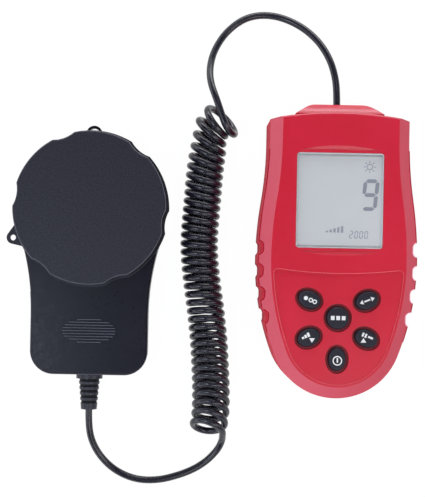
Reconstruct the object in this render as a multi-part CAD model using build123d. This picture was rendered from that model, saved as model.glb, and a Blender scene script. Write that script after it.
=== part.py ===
from build123d import *
import math
import os

# Lux meter lying face up, with its sensor head beside it on a curly cord.
# Millimetres. +X right, +Y towards the meter's top end, +Z up out of the display.
# The origin is under the middle of the meter and sensor head together.

os.makedirs("parts", exist_ok=True)

# Layout on the table
spread_x = 191.8  # tip of the cap's lug to the right side of the meter
spread_y = 146.5  # end of the sensor's boot to the end of the meter's lead boss

# General fits
overrun = 1.0  # how far a cut runs past what it cuts
slide_gap = 0.25  # between a sliding piece and its guide
fit_gap = 0.1  # between pieces that are fixed together
screw_gap = 0.1  # round a screw in the hole that it bites

# Meter case
case_half_width = 36.7  # at the widest line, where the case's own origin is
waist_inset = 4.4  # of the straight sides from the widest line
waist_radius = 180.0  # of the sides above the widest line
side_radius = 124.0  # of the sides below it
heel_drop = 63.9  # widest line to the bottom end
shoulder_rise = 65.1  # widest line to the top corners
crown_rise = 3.1  # bulge of the top end
case_height = 32.0
parting_height = 14.0
case_wall = 2.2
face_thickness = 2.2
band_width = 5.5  # sloped band round the face, seen from the front
band_height = 5.0
crown_bevel = 0.7
back_bevel = 1.2
cavity_rise = 62.4  # widest line to the flat end of the cavity
lip_height = 1.2
lip_thickness = 0.9

# Lead boss at the top end of the case
boss_reach = 5.1  # past the crown
boss_end_half_width = 12.8
boss_corner = 10.0
boss_root_half_width = 20.5
boss_root_drop = 5.0  # from the end back to where the slanting flanks start
boss_bottom = 3.0
boss_end_height = 17.5
boss_slope_height = 27.0
boss_slope_bow = 1.8  # of the sloping upper side, outwards

# Grip notches
notch_count = 4
notch_length = 7.0
notch_depth = 1.0
notch_pitch = 10.8
notch_first = 5.5  # above the widest line
notch_corner = 2.4
notch_slant = 14.0  # degrees, of the upper part that runs into the sloped band
notch_slant_height = 24.8

# Display
window_margin = 12.2  # from the straight sides to the opening
window_opening_y = 44.1
window_corner = 1.5
window_rise = 27.6  # widest line to the middle of the window
window_lap = 2.0  # of the window behind the edge of its opening
window_thickness = 0.6
window_face = 0.9  # thickness of the face in front of the window
scoop_half_width = 18.0
scoop_height = 2.0
scoop_depth = 0.55
scoop_offset = 1.2  # from the edge of the opening
display_gap = 0.1
glass_thickness = 2.5
glass_lap_x = 0.9  # of the glass behind the edges of the opening
glass_lap_y = 0.95
frame_wall = 0.9
frame_ledge = 1.7
connector_width = 2.4
connector_margin = 2.5  # from the sides of the glass
connector_inset = 0.5  # from the end of the glass

# Circuit board
board_thickness = 1.6
board_rise = 2.95  # above the roof of the battery bay
board_inset = 1.3  # from the inside of the case
board_top_rise = 59.0  # widest line to its top end
board_post_radius = 2.4
board_post_inset = 12.7  # from the widest line
board_post_y_low = -4.5
board_post_top_x = 13.0
board_post_y_high = 56.3
chip_height = 1.3
chip_blob_radius = 7.5
chip_long = 12.0
chip_short = 7.0
chip_row_rise = 36.0
chip_row_offset = 10.0
blob_rise = 15.0

# Keypad panel and keys
panel_inset = 6.7
panel_depth = 0.35
panel_top_drop = 6.0  # widest line to the lowest point of its top edge
panel_top_sag = 3.2
panel_corner = 2.0  # at both ends of its top edge
key_offset_x = 13.2
key_upper_drop = 18.2
key_mode_drop = 26.4
key_lower_drop = 35.6
key_power_drop = 45.4
key_long_half = 5.25
key_short_half = 3.95
key_round_half = 5.1
key_lean = 22.0  # degrees
key_proud = 1.1  # above the face
key_edge_radius = 0.9
key_gap = 0.3
key_well_width = 1.45
key_well_depth = 1.1
key_flange = 1.0
key_flange_thickness = 1.2
key_flange_gap = 0.15
key_stem_radius = 2.6
key_travel = 0.8
key_rest_gap = 0.15
mat_thickness = 1.2
mat_half_width = 20.2
mat_margin = 6.0
dome_radius = 3.1
dome_height = 0.5
dome_pocket_gap = 0.3

# Batteries and their cover
cell_radius = 5.25
cell_length = 43.3
cell_nub_radius = 1.9
cell_nub_height = 1.0
cell_pitch = 10.9
cell_count = 3
bay_half_width = 17.0
bay_low_drop = 52.2
bay_high_drop = 3.0
bay_wall = 1.5
cell_lift = 0.4
contact_thickness = 0.5
contact_half_width = 4.3
contact_height = 8.0
spring_radius = 3.4
spring_tip_radius = 1.6
cover_half_width = 18.6
cover_tongue = 1.0
cover_thickness = 1.8
cover_tongue_thickness = 0.9
cover_recess = 0.2
cover_top_drop = 0.8
cover_rib_count = 5
cover_rib_pitch = 2.4
cover_rib_width = 1.0
cover_rib_depth = 0.5
cover_rib_length = 16.0
cover_rib_rise = 8.0  # from the bottom end to the first rib

# Case screws
post_radius = 3.4
post_inset_high = 6.0  # from the straight sides
post_y_high = 57.2
post_inset_low = 11.7  # from the widest line
post_y_low = -29.0
screw_radius = 1.1
screw_head_radius = 2.3
screw_head_height = 1.6
screw_seat = 6.0
screw_length = 16.0
screw_clear = 0.35
slot_width = 0.6
slot_depth = 0.7
slot_share = 0.7  # of the screw head's radius
board_screw_length = 6.0
board_screw_radius = 0.9
board_screw_head_radius = 1.7
board_screw_head_height = 1.2

# Cord and its gland
cord_diameter = 3.3
gland_gap = 0.5  # between the cord and the hole in the boss
gland_flange_radius = 4.2
gland_flange_thickness = 1.5
gland_recess = 2.6  # of the gland's outer face behind the end of the boss

# Sensor head, measured from the middle of the cap
head_radius = 34.0
head_height = 22.5
body_height = 16.0
body_parting = 8.0
body_half_width = 27.7
body_drop = 78.45  # middle of the cap to the bottom end
body_corner = 11.0
neck_inset = 0.27  # of the neck's upper end inside the side of the head
neck_start_drop = 50.0
neck_end_drop = 12.5
body_wall = 2.0
body_edge = 0.8
body_back_bevel = 1.0
head_ring_step = 0.8  # raised ring inside the edge of the head
head_bore_inset = 5.0  # of the bore from the side of the head
head_lip_inset = 8.0  # of the opening from the side of the head
head_lip_thickness = 2.2

# Hanging ring
ring_offset = 2.9  # from the side of the head to the middle of the ring
ring_radius = 3.85
ring_hole_radius = 2.6
ring_bottom = 3.0
ring_thickness = 3.0

# Grip patch
grip_drop = 57.7
grip_half_width = 12.6
grip_half_height = 6.0
grip_count = 9
grip_pitch = 1.34
grip_width = 0.55
grip_height = 0.45

# Cap
cap_overhang = 1.5  # of the side of the cap past the head
cap_height = 28.0
cap_top_thickness = 1.8
cap_seat_gap = 0.2
cap_side_gap = 0.3
cap_flange_reach = 1.5
cap_flange_thickness = 2.0
cap_top_bevel = 0.5
scallop_count = 6
scallop_first = 51.0  # degrees
scallop_half_width = 6.5
scallop_sink = 1.4
lug_angle = 201.4  # degrees
lug_offset = 3.7  # from the side of the cap to the hole
lug_tip_radius = 3.0
lug_hole_radius = 1.37
lug_root_half_width = 8.0
lug_thickness = 2.0

# Optics and board in the sensor head
dome_gap = 0.3  # between the dome and the opening of the head
diffuser_rise = 5.2
diffuser_wall = 1.6
diffuser_flange_thickness = 1.2
diffuser_ring_thickness = 1.8
diffuser_ring_width = 5.5  # from the bore of the head
sensor_board_inset_x = 9.0  # from the bore of the head
sensor_board_inset_y = 11.0
sensor_board_thickness = 1.6
sensor_board_bottom = 8.6
sensor_post_radius = 2.5
sensor_post_inset = 3.5
photodiode_size = 10.0
photodiode_height = 2.2
filter_radius = 7.0
filter_thickness = 1.6
sensor_screw_inset_high = 8.5  # from the side of the head
sensor_screw_y_high = -10.0
sensor_screw_inset_low = 7.7  # from the side of the body
sensor_screw_rise_low = 10.8  # from the bottom end of the body
sensor_screw_post_radius = 3.0
sensor_screw_seat = 3.6
sensor_screw_length = 9.5

# Ribbed boot
boot_flange_radius = 6.3
boot_flange_thickness = 2.4
boot_length = 17.2  # end of the body to the end of the boot
boot_root_radius = 5.1
boot_tip_radius = 3.8
boot_groove_count = 5
boot_groove_width = 1.25
boot_groove_depth = 0.5
boot_groove_first = 2.5
boot_groove_pitch = 2.6
boot_neck_radius = 4.2
boot_inner_flange = 1.5
boot_inner_radius = 5.4

# Places that follow from the sizes above
waist_half_width = case_half_width - waist_inset
inner_face = case_height - face_thickness
window_seat = case_height - window_face
glass_top = window_seat - window_thickness - display_gap
glass_bottom = glass_top - glass_thickness
cell_height = cover_recess + cover_thickness + slide_gap + cell_lift + cell_radius
bay_ceiling = cell_height + cell_radius + cell_lift
board_bottom = bay_ceiling + bay_wall + board_rise
board_top = board_bottom + board_thickness
mat_top = board_top + mat_thickness
window_opening_x = 2 * (waist_half_width - window_margin)
glass_x = window_opening_x + 2 * glass_lap_x
glass_y = window_opening_y + 2 * glass_lap_y
boss_end = shoulder_rise + crown_rise + boss_reach
meter_place = Pos(spread_x / 2 - case_half_width, spread_y / 2 - boss_end, 0)
sensor_end = body_drop + boot_length
head_bore_radius = head_radius - head_bore_inset
head_lip_radius = head_radius - head_lip_inset
dome_base_radius = head_lip_radius - dome_gap
diffuser_ring_bore = head_bore_radius - diffuser_ring_width
sensor_board_half_x = head_bore_radius - sensor_board_inset_x
sensor_board_half_y = head_bore_radius - sensor_board_inset_y
ring_reach = head_radius + ring_offset
cap_radius = head_radius + cap_overhang
lug_reach = cap_radius + lug_offset
lug_extent = lug_reach * math.cos(math.radians(lug_angle - 180)) + lug_tip_radius
sensor_place = Pos(-spread_x / 2 + lug_extent, -spread_y / 2 + sensor_end, 0)
cord_radius = cord_diameter / 2


# Helpers


def block(x0, x1, y0, y1, z0, z1):
    """Box between two opposite corners."""
    box = Box(x1 - x0, y1 - y0, z1 - z0)
    return Pos((x0 + x1) / 2, (y0 + y1) / 2, (z0 + z1) / 2) * box


def rod(radius, z0, z1, x=0, y=0):
    """Upright cylinder between two heights."""
    return Pos(x, y, (z0 + z1) / 2) * Cylinder(radius, z1 - z0)


def slab(face, z0, z1):
    """Plan face extruded between two heights."""
    return Pos(0, 0, z0) * extrude(face, z1 - z0)


def both_sides(x):
    """The two places left and right of the middle line."""
    return (-x, x)


def save(name, shape):
    """Write one sub-part."""
    export_step(shape, "parts/" + name + ".step")


def group(solids):
    """Separate solids kept as one sub-part."""
    return Compound(children=[s for shape in solids for s in shape.solids()])


def screw(x, y, seat, length, radius, head_radius, head_height):
    """Screw driven upwards, with its head's upper face at the seat height."""
    body = rod(radius, seat, seat + length, x, y)
    head = rod(head_radius, seat - head_height, seat, x, y)
    bottom = seat - head_height
    reach = head_radius * slot_share
    for half_x, half_y in ((reach, slot_width / 2), (slot_width / 2, reach)):
        head -= block(x - half_x, x + half_x, y - half_y, y + half_y, bottom, bottom + slot_depth)
    return body + head


# Meter case


def case_outline(inset=0):
    """Plan of the case: flared sides, round heel and slightly bulged top end."""
    step = case_half_width - waist_half_width
    rise = math.sqrt(4 * waist_radius * step - step**2)
    turn = ((case_half_width + waist_half_width) / 2, rise / 2)
    centre = case_half_width - side_radius
    heel = (side_radius**2 - centre**2 - heel_drop**2) / (2 * (side_radius - heel_drop))
    reach = side_radius / math.hypot(centre, heel_drop - heel)
    heel_x = centre - centre * reach
    heel_y = -(heel_drop - heel) * reach
    corner = (waist_half_width, shoulder_rise)
    straight = Line(corner, (waist_half_width, rise))
    hollow = TangentArc((waist_half_width, rise), turn, tangent=(0, -1))
    bulge = TangentArc(turn, (case_half_width, 0), tangent=hollow % 1)
    flank = TangentArc((case_half_width, 0), (heel_x, heel_y), tangent=(0, -1))
    right = [straight, hollow, bulge, flank]
    left = [mirror(edge, about=Plane.YZ) for edge in right]
    foot = ThreePointArc((heel_x, heel_y), (0, -heel_drop), (-heel_x, heel_y))
    crown = ThreePointArc((-corner[0], corner[1]), (0, corner[1] + crown_rise), corner)
    face = make_face(Curve() + right + left + [foot, crown])
    if inset:
        face = offset(face, amount=-inset, kind=Kind.INTERSECTION)
    return face


def case_block(inset, bottom, top):
    """Solid case with its sloped bands, drawn in all round by an inset."""
    solid = slab(case_outline(inset), bottom, top)
    face = solid.faces().sort_by(Axis.Z)[-1]
    edges = [edge for edge in face.edges() if (edge @ 0.5).Y < shoulder_rise - inset]
    return chamfer(edges, length=band_width, length2=band_height, reference=face)


def lead_boss():
    """Boss at the top end that the lead comes out of, with a bowed sloping upper side."""
    root = shoulder_rise - case_wall
    flank = boss_end - boss_root_drop
    plan = Polyline(
        (-boss_root_half_width, root),
        (-boss_root_half_width, flank),
        (-boss_end_half_width, boss_end),
        (boss_end_half_width, boss_end),
        (boss_root_half_width, flank),
        (boss_root_half_width, root),
        close=True,
    )
    plan = make_face(plan)
    plan = fillet(plan.vertices().group_by(Axis.Y)[-1], boss_corner)
    end, crown = (boss_end, boss_end_height), (shoulder_rise + crown_rise, boss_slope_height)
    run, climb = end[0] - crown[0], crown[1] - end[1]
    bow = boss_slope_bow / math.hypot(run, climb)
    middle = ((end[0] + crown[0]) / 2 + climb * bow, (end[1] + crown[1]) / 2 + run * bow)
    low = Polyline(crown, (root, boss_slope_height), (root, boss_bottom), (boss_end, boss_bottom), end)
    side = make_face(Curve() + [low, ThreePointArc(end, middle, crown)])
    upright = slab(plan, boss_bottom, boss_slope_height)
    across = extrude(Plane.YZ * side, boss_root_half_width, both=True)
    return upright & across


def gland_bore(radius, y0, y1):
    """Round bar along the lead at the parting height."""
    return Pos(0, (y0 + y1) / 2, parting_height) * Rot(90, 0, 0) * Cylinder(radius, y1 - y0)


def notches():
    """Bars that cut the grip notches in both sides."""
    cuts = []
    for number in range(notch_count):
        y = notch_first - number * notch_pitch
        half = case_side_at(y)
        for side in (-1, 1):
            bar = RectangleRounded(2 * notch_depth + 2 * notch_corner, notch_length, notch_corner)
            x = side * (half + notch_corner)
            cuts.append(slab(Pos(x, y) * bar, -overrun, notch_slant_height))
            slanted = Rot(0, -side * notch_slant, 0) * slab(bar, 0, case_height)
            cuts.append(Pos(x, y, notch_slant_height) * slanted)
    return cuts


def case_side_at(y):
    """Half width of the case at a place on its bulging sides."""
    radius = waist_radius if y > 0 else side_radius
    return case_half_width - radius + math.sqrt(radius**2 - y**2)


def case_posts():
    """Places of the four case screws."""
    high = [(x, post_y_high) for x in both_sides(waist_half_width - post_inset_high)]
    low = [(x, post_y_low) for x in both_sides(case_half_width - post_inset_low)]
    return high + low


def board_posts():
    """Places of the four posts that carry the board."""
    high = [(x, board_post_y_high) for x in both_sides(board_post_top_x)]
    low = [(x, board_post_y_low) for x in both_sides(case_half_width - board_post_inset)]
    return high + low


def key_table():
    """Name, place, half sizes and lean of each key."""
    upper, lower = -key_upper_drop, -key_lower_drop
    oval = (key_long_half, key_short_half)
    return [
        ("key_rec", -key_offset_x, upper, oval, -key_lean),
        ("key_range", key_offset_x, upper, oval, key_lean),
        ("key_mode", 0, -key_mode_drop, (key_round_half, key_round_half), 0),
        ("key_max", -key_offset_x, lower, oval, key_lean),
        ("key_hold", key_offset_x, lower, oval, -key_lean),
        ("key_power", 0, -key_power_drop, oval, 90),
    ]


def key_plan(x, y, halves, lean, extra=0):
    """Oval plan of a key, widened all round."""
    return Pos(x, y) * Rot(0, 0, lean) * Ellipse(halves[0] + extra, halves[1] + extra)


def window_plan(extra):
    """Rounded plan of the display opening, widened all round."""
    width, height = window_opening_x + 2 * extra, window_opening_y + 2 * extra
    return Pos(0, window_rise) * RectangleRounded(width, height, window_corner + max(extra, 0))


def scoop(direction):
    """Lens-shaped hollow above or below the window, with a floor that slopes towards it."""
    base = window_rise + direction * (window_opening_y / 2 + scoop_offset)
    left, right = (-scoop_half_width, base), (scoop_half_width, base)
    bow = ThreePointArc(left, (0, base + direction * scoop_height), right)
    face = make_face(Curve() + [bow, Line(left, right)])
    low = case_height - scoop_depth
    slope = math.degrees(math.atan2(scoop_depth, scoop_height))
    reach = scoop_half_width + overrun
    room = Rot(direction * slope, 0, 0) * block(-reach, reach, -reach, reach, 0, reach)
    return slab(face, low, case_height + overrun) & Pos(0, base, low) * room


def panel_plan():
    """Plan of the sunk keypad panel."""
    side, low = case_half_width, -heel_drop
    edge = -panel_top_drop + panel_top_sag
    left, right = (-side, edge), (side, edge)
    bow = ThreePointArc(left, (0, -panel_top_drop), right)
    box = Polyline(left, (-side, low), (side, low), right)
    panel = case_outline(panel_inset) & make_face(Curve() + [bow, box])
    return fillet(panel.vertices().sort_by(Axis.Y)[-2:], panel_corner)


def hollow_case():
    """Whole case with its cavity, lead boss and notches, before it is parted."""
    outer = case_block(0, 0, case_height)
    crown = outer.faces().sort_by(Axis.Z)[-1].edges().sort_by(Axis.Y)[-1]
    outer = chamfer(crown, length=crown_bevel)
    back = outer.faces().sort_by(Axis.Z)[0]
    outer = chamfer(back.edges(), length=back_bevel)
    outer += lead_boss()
    for bar in notches():
        outer -= bar
    inner = case_block(case_wall, case_wall, inner_face)
    inner -= block(-case_half_width, case_half_width, cavity_rise, boss_end, 0, case_height)
    return outer - inner


def lead_hole():
    """Hole for the lead and the gland's neck through the end of the case."""
    return gland_bore(cord_radius + gland_gap, cavity_rise - overrun, boss_end + overrun)


def front_shell(hollow):
    """Upper casing with its openings, posts and keypad panel."""
    size = 2 * (case_half_width + boss_end)
    shell = hollow & Pos(0, 0, parting_height + size / 2) * Box(size, size, size)
    room = case_block(case_wall / 2, case_wall, inner_face + face_thickness / 2)
    for x, y in case_posts():
        shell += rod(post_radius, parting_height, inner_face, x, y) & room
    for x, y in board_posts():
        shell += rod(board_post_radius, board_top, inner_face, x, y) & room
    for x, y in case_posts():
        depth = screw_seat + screw_length + overrun
        shell -= rod(screw_radius + screw_gap, parting_height - overrun, depth, x, y)
    for x, y in board_posts():
        depth = board_top + board_screw_length
        shell -= rod(board_screw_radius + screw_gap, board_top - overrun, depth, x, y)
    rebate = slab(case_outline(case_wall - lip_thickness), parting_height, parting_height + lip_height)
    rebate &= block(
        -case_half_width, case_half_width, -heel_drop, shoulder_rise - post_radius, 0, case_height
    )
    keep = slab(case_outline(case_wall), 0, case_height)
    shell -= rebate - keep
    shell -= slab(window_plan(0), inner_face - overrun, case_height + overrun)
    shell -= slab(window_plan(window_lap + fit_gap), inner_face - overrun, window_seat)
    shell -= scoop(1)
    shell -= scoop(-1)
    panel = case_height - panel_depth
    shell -= slab(panel_plan(), panel, case_height + overrun)
    for _, x, y, halves, lean in key_table():
        shell -= slab(key_plan(x, y, halves, lean, key_gap), inner_face - overrun, case_height)
        well = key_plan(x, y, halves, lean, key_well_width)
        shell -= slab(well, panel - key_well_depth, case_height)
    return shell - lead_hole()


def cover_track(gap):
    """Space of the battery cover with its side tongues, open at the bottom end."""
    top = -cover_top_drop + gap
    low = -heel_drop - overrun
    step = cover_recess + cover_thickness - cover_tongue_thickness
    half = cover_half_width + gap
    plate = block(-half, half, low, top, -overrun, cover_recess + cover_thickness + gap)
    wide = half + cover_tongue
    return plate + block(-wide, wide, low, top, step - gap, cover_recess + cover_thickness + gap)


def rear_shell(hollow):
    """Lower casing with the battery bay, cover track and screw posts."""
    size = 2 * (case_half_width + boss_end)
    shell = hollow & Pos(0, 0, parting_height - size / 2) * Box(size, size, size)
    floor = cover_recess + cover_thickness + slide_gap + case_wall
    wide = cover_half_width + cover_tongue + case_wall
    pad = block(-wide, wide, -heel_drop, case_wall, case_wall, floor)
    inside = slab(case_outline(case_wall / 2), 0, case_height)
    shell += pad & inside
    half = bay_half_width + bay_wall
    low, high = -bay_low_drop - bay_wall, -bay_high_drop + bay_wall
    shell += block(-half, half, low, high, case_wall, bay_ceiling + bay_wall)
    for x, y in case_posts():
        shell += rod(post_radius, case_wall, parting_height, x, y)
    lip_top = parting_height + lip_height - fit_gap
    lip = slab(case_outline(case_wall - lip_thickness + fit_gap), parting_height, lip_top)
    lip -= slab(case_outline(case_wall), 0, case_height)
    lip &= block(
        -case_half_width, case_half_width, -heel_drop, shoulder_rise - post_radius - fit_gap, 0, case_height
    )
    shell += lip
    shell -= block(-bay_half_width, bay_half_width, -bay_low_drop, -bay_high_drop, -overrun, bay_ceiling)
    shell -= cover_track(slide_gap)
    for x, y in case_posts():
        shell -= rod(screw_head_radius + screw_clear, -overrun, screw_seat, x, y)
        shell -= rod(screw_radius + screw_clear, 0, parting_height + overrun, x, y)
    return shell - lead_hole()


def battery_cover():
    """Sliding plate in the back, with grip ribs cut near its outer end."""
    plate = cover_track(0) & slab(case_outline(back_bevel), cover_recess, case_height)
    for number in range(cover_rib_count):
        y = -heel_drop + cover_rib_rise + number * cover_rib_pitch
        half = cover_rib_length / 2
        top = cover_recess + cover_rib_depth
        plate -= block(-half, half, y, y + cover_rib_width, 0, top)
    return plate


# Meter, inner pieces


def display_window():
    """Clear plate behind the opening, in a seat in the face."""
    return slab(window_plan(window_lap), window_seat - window_thickness, window_seat)


def display_glass():
    """Liquid crystal glass with its lower pane longer at both ends."""
    top, middle = glass_top, (glass_top + glass_bottom) / 2
    x = glass_x / 2
    low, high = window_rise - glass_y / 2, window_rise + glass_y / 2
    upper = block(-x, x, low + connector_width, high - connector_width, middle, top)
    lower = block(-x, x, low, high, glass_bottom, middle)
    return upper + lower


def display_frame():
    """Holder of the glass, standing on the board."""
    x, y = glass_x / 2 + fit_gap, glass_y / 2 + fit_gap
    low, high = window_rise - y, window_rise + y
    side = x + frame_wall
    outer = block(-side, side, low - frame_wall, high + frame_wall, board_top, glass_top)
    outer -= block(-x, x, low, high, glass_bottom, glass_top + overrun)
    room = slab(window_plan(window_lap), inner_face - fit_gap, glass_top + overrun)
    outer -= block(-side, side, low - frame_wall, high + frame_wall, inner_face - fit_gap, glass_top) - room
    narrow = x - frame_ledge
    return outer - block(-narrow, narrow, low, high, board_top - overrun, glass_top)


def display_connectors():
    """Two elastomer strips between the board and the glass."""
    strips = []
    for side in (-1, 1):
        y = window_rise + side * (glass_y / 2 - connector_inset - connector_width / 2)
        half = glass_x / 2 - connector_margin
        ends = (y - connector_width / 2, y + connector_width / 2)
        strips.append(block(-half, half, ends[0], ends[1], board_top, glass_bottom))
    return group(strips)


def main_board():
    """Circuit board, cut away round the screw posts."""
    board = slab(case_outline(case_wall + board_inset), board_bottom, board_top)
    board &= block(-case_half_width, case_half_width, -heel_drop, board_top_rise, 0, case_height)
    for x, y in case_posts():
        board -= rod(post_radius + 2 * screw_clear, board_bottom - overrun, case_height, x, y)
    for x, y in board_posts():
        board -= rod(board_screw_radius + screw_gap, board_bottom - overrun, case_height, x, y)
    return board


def board_chips():
    """Moulded chips on the lower side of the board."""
    low = board_bottom - chip_height
    chips = [rod(chip_blob_radius, low, board_bottom, 0, blob_rise)]
    for side in (-1, 1):
        x, y = side * chip_row_offset, chip_row_rise
        half_x, half_y = chip_short / 2, chip_long / 2
        chips.append(block(x - half_x, x + half_x, y - half_y, y + half_y, low, board_bottom))
    return group(chips)


def keypad_mat():
    """Rubber mat under the keys with a pocket over each contact."""
    low = -key_power_drop - mat_margin
    high = -key_upper_drop + mat_margin
    mat = block(-mat_half_width, mat_half_width, low, high, board_top, mat_top)
    mat &= slab(case_outline(case_wall + 2 * board_inset), 0, case_height)
    for x, y in case_posts():
        mat -= rod(post_radius + screw_clear, board_top - overrun, case_height, x, y)
    for _, x, y, _, _ in key_table():
        top = board_top + dome_height + dome_pocket_gap
        mat -= rod(dome_radius + dome_pocket_gap, board_top - overrun, top, x, y)
    return mat


def contact_domes():
    """Metal snap domes on the board."""
    domes = []
    for _, x, y, _, _ in key_table():
        cone = Cone(dome_radius, dome_radius / 2, dome_height)
        domes.append(Pos(x, y, board_top + dome_height / 2) * cone)
    return group(domes)


def key(x, y, halves, lean):
    """Key with a rounded top, a flange under the face and a stem."""
    top = case_height + key_proud
    flange_top = inner_face - key_flange_gap
    flange_low = flange_top - key_flange_thickness
    cap = slab(key_plan(x, y, halves, lean), flange_low, top)
    rim = cap.edges().group_by(Axis.Z)[-1]
    cap = fillet(rim, key_edge_radius)
    cap += slab(key_plan(x, y, halves, lean, key_flange), flange_low, flange_top)
    low = mat_top + key_travel + key_rest_gap
    return cap + rod(key_stem_radius, low, flange_low, x, y)


def cell_rows():
    """Place of each cell and the end that its nub points to."""
    middle = (cell_count - 1) / 2
    return [((number - middle) * cell_pitch, 1 if number % 2 else -1) for number in range(cell_count)]


def lengthwise(radius, y0, y1, x, tip_radius=None):
    """Round bar along Y at the height of the cells, straight or tapered."""
    bar = Cylinder(radius, abs(y1 - y0)) if tip_radius is None else Cone(radius, tip_radius, abs(y1 - y0))
    turn = Rot(-90, 0, 0) if y1 > y0 else Rot(90, 0, 0)
    return Pos(x, (y0 + y1) / 2, cell_height) * turn * bar


def bay_ends(direction):
    """The bay's end wall on the nub's side and on the spring's side."""
    low, high = -bay_low_drop + contact_thickness, -bay_high_drop - contact_thickness
    return (high, low) if direction > 0 else (low, high)


def battery_cells():
    """Three cells, each with its nub against a contact plate."""
    cells = []
    for x, direction in cell_rows():
        nub_end, _ = bay_ends(direction)
        shoulder = nub_end - direction * (cell_nub_height + fit_gap)
        base = shoulder - direction * cell_length
        cell = lengthwise(cell_radius, min(base, shoulder), max(base, shoulder), x)
        tip = shoulder + direction * cell_nub_height
        cells.append(cell + lengthwise(cell_nub_radius, min(tip, shoulder), max(tip, shoulder), x))
    return group(cells)


def battery_contacts():
    """Contact plates at both ends of the bay and a tapered spring for each cell."""
    pieces = []
    for x, direction in cell_rows():
        nub_end, spring_end = bay_ends(direction)
        for end, outward in ((nub_end, direction), (spring_end, -direction)):
            wall = end + outward * contact_thickness
            low = cell_height - contact_height / 2
            half = contact_half_width
            plate = block(x - half, x + half, min(end, wall), max(end, wall), low, low + contact_height)
            if end == spring_end:
                base = nub_end - direction * (cell_nub_height + 2 * fit_gap + cell_length)
                plate += lengthwise(spring_radius, spring_end, base, x, spring_tip_radius)
            pieces.append(plate)
    return group(pieces)


def case_screws():
    """Four screws through the lower casing."""
    sizes = (screw_seat, screw_length, screw_radius, screw_head_radius, screw_head_height)
    return group([screw(x, y, *sizes) for x, y in case_posts()])


def board_screws():
    """Four short screws that hold the board to its posts."""
    sizes = (board_bottom, board_screw_length, board_screw_radius, board_screw_head_radius)
    return group([screw(x, y, *sizes, board_screw_head_height) for x, y in board_posts()])


def cord_gland():
    """Grommet in the hole, with a flange inside the case."""
    outer = boss_end - gland_recess
    inner = cavity_rise - fit_gap
    neck = gland_bore(cord_radius + gland_gap - fit_gap, inner - gland_flange_thickness, outer)
    return neck + gland_bore(gland_flange_radius, inner - gland_flange_thickness, inner)


# Sensor head


def sensor_outline(inset=0):
    """Plan of the sensor's casing: round head, hollow neck and squared body."""
    start = (body_half_width, -neck_start_drop)
    end = (head_radius - neck_inset, -neck_end_drop)
    low = -body_drop
    neck = TangentArc(start, end, tangent=(0, 1))
    right = [
        Line((0, 0), (end[0], 0)),
        Line((end[0], 0), end),
        neck,
        Line(start, (body_half_width, low)),
        Line((body_half_width, low), (0, low)),
    ]
    left = [mirror(edge, about=Plane.YZ) for edge in right]
    body = make_face(Curve() + right + left)
    corners = [vertex for vertex in body.vertices() if abs(vertex.Y - low) < body_edge and vertex.X]
    body = fillet(corners, body_corner)
    keep = Pos(0, low / 2) * Rectangle(2 * head_radius + case_half_width, -low)
    face = (body & keep) + Circle(head_radius)
    if inset:
        face = offset(face, amount=-inset, kind=Kind.INTERSECTION)
    return face


def sensor_screw_places():
    """Places of the four screws of the sensor's casing."""
    high = [(x, sensor_screw_y_high) for x in both_sides(head_radius - sensor_screw_inset_high)]
    y = -body_drop + sensor_screw_rise_low
    low = [(x, y) for x in both_sides(body_half_width - sensor_screw_inset_low)]
    return high + low


def along_boot(radius, y0, y1):
    """Round bar along the boot's line."""
    return Pos(0, (y0 + y1) / 2, body_parting) * Rot(90, 0, 0) * Cylinder(radius, y1 - y0)


def boot_cut():
    """Hole of the boot's neck through the end of the casing."""
    return along_boot(boot_neck_radius + fit_gap, -body_drop - overrun, -body_drop + body_wall + overrun)


def sensor_front_shell():
    """Upper casing with the raised head ring and the grip patch."""
    shell = slab(sensor_outline(), body_parting, body_height)
    rim = shell.edges().group_by(Axis.Z)[-1]
    shell = chamfer(rim, body_edge)
    shell += rod(head_radius - head_ring_step, body_parting, head_height)
    shell -= slab(sensor_outline(body_wall), body_parting - overrun, body_height - body_wall) - rod(
        head_radius, 0, cap_height
    )
    shell -= rod(head_bore_radius, 0, head_height - head_lip_thickness)
    shell -= rod(head_lip_radius, 0, head_height + overrun)
    for x, y in sensor_screw_places():
        shell += rod(sensor_screw_post_radius, body_parting, body_height - body_edge, x, y)
        top = sensor_screw_seat + sensor_screw_length + screw_gap
        shell -= rod(board_screw_radius + screw_gap, body_parting - overrun, top, x, y)
    for number in range(grip_count):
        offset_y = (number - (grip_count - 1) / 2) * grip_pitch
        half = grip_half_width * math.sqrt(1 - (offset_y / grip_half_height) ** 2)
        y = -grip_drop + offset_y - grip_width / 2
        low, high = body_height - overrun, body_height + grip_height
        shell += block(-half, half, y, y + grip_width, low, high)
    return shell - boot_cut()


def sensor_rear_shell():
    """Lower casing with the hanging ring, board posts and screw posts."""
    shell = slab(sensor_outline(), 0, body_parting)
    back = shell.faces().sort_by(Axis.Z)[0]
    shell = chamfer(back.edges(), body_back_bevel)
    shell -= slab(sensor_outline(body_wall), body_wall, body_parting + overrun)
    for x, y in sensor_screw_places():
        shell += rod(sensor_screw_post_radius, body_wall / 2, body_parting, x, y)
        shell -= rod(board_screw_head_radius + screw_clear, -overrun, sensor_screw_seat, x, y)
        shell -= rod(board_screw_radius + screw_clear, 0, body_parting + overrun, x, y)
    for x in both_sides(sensor_board_half_x - sensor_post_inset):
        for y in both_sides(sensor_board_half_y - sensor_post_inset):
            shell += rod(sensor_post_radius, body_wall / 2, sensor_board_bottom, x, y)
    ring_top = ring_bottom + ring_thickness
    root = block(-ring_radius, ring_radius, head_radius - body_wall, ring_reach, ring_bottom, ring_top)
    shell += root + rod(ring_radius, ring_bottom, ring_top, 0, ring_reach)
    shell -= rod(ring_hole_radius, 0, body_parting, 0, ring_reach)
    return shell - boot_cut()


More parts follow.
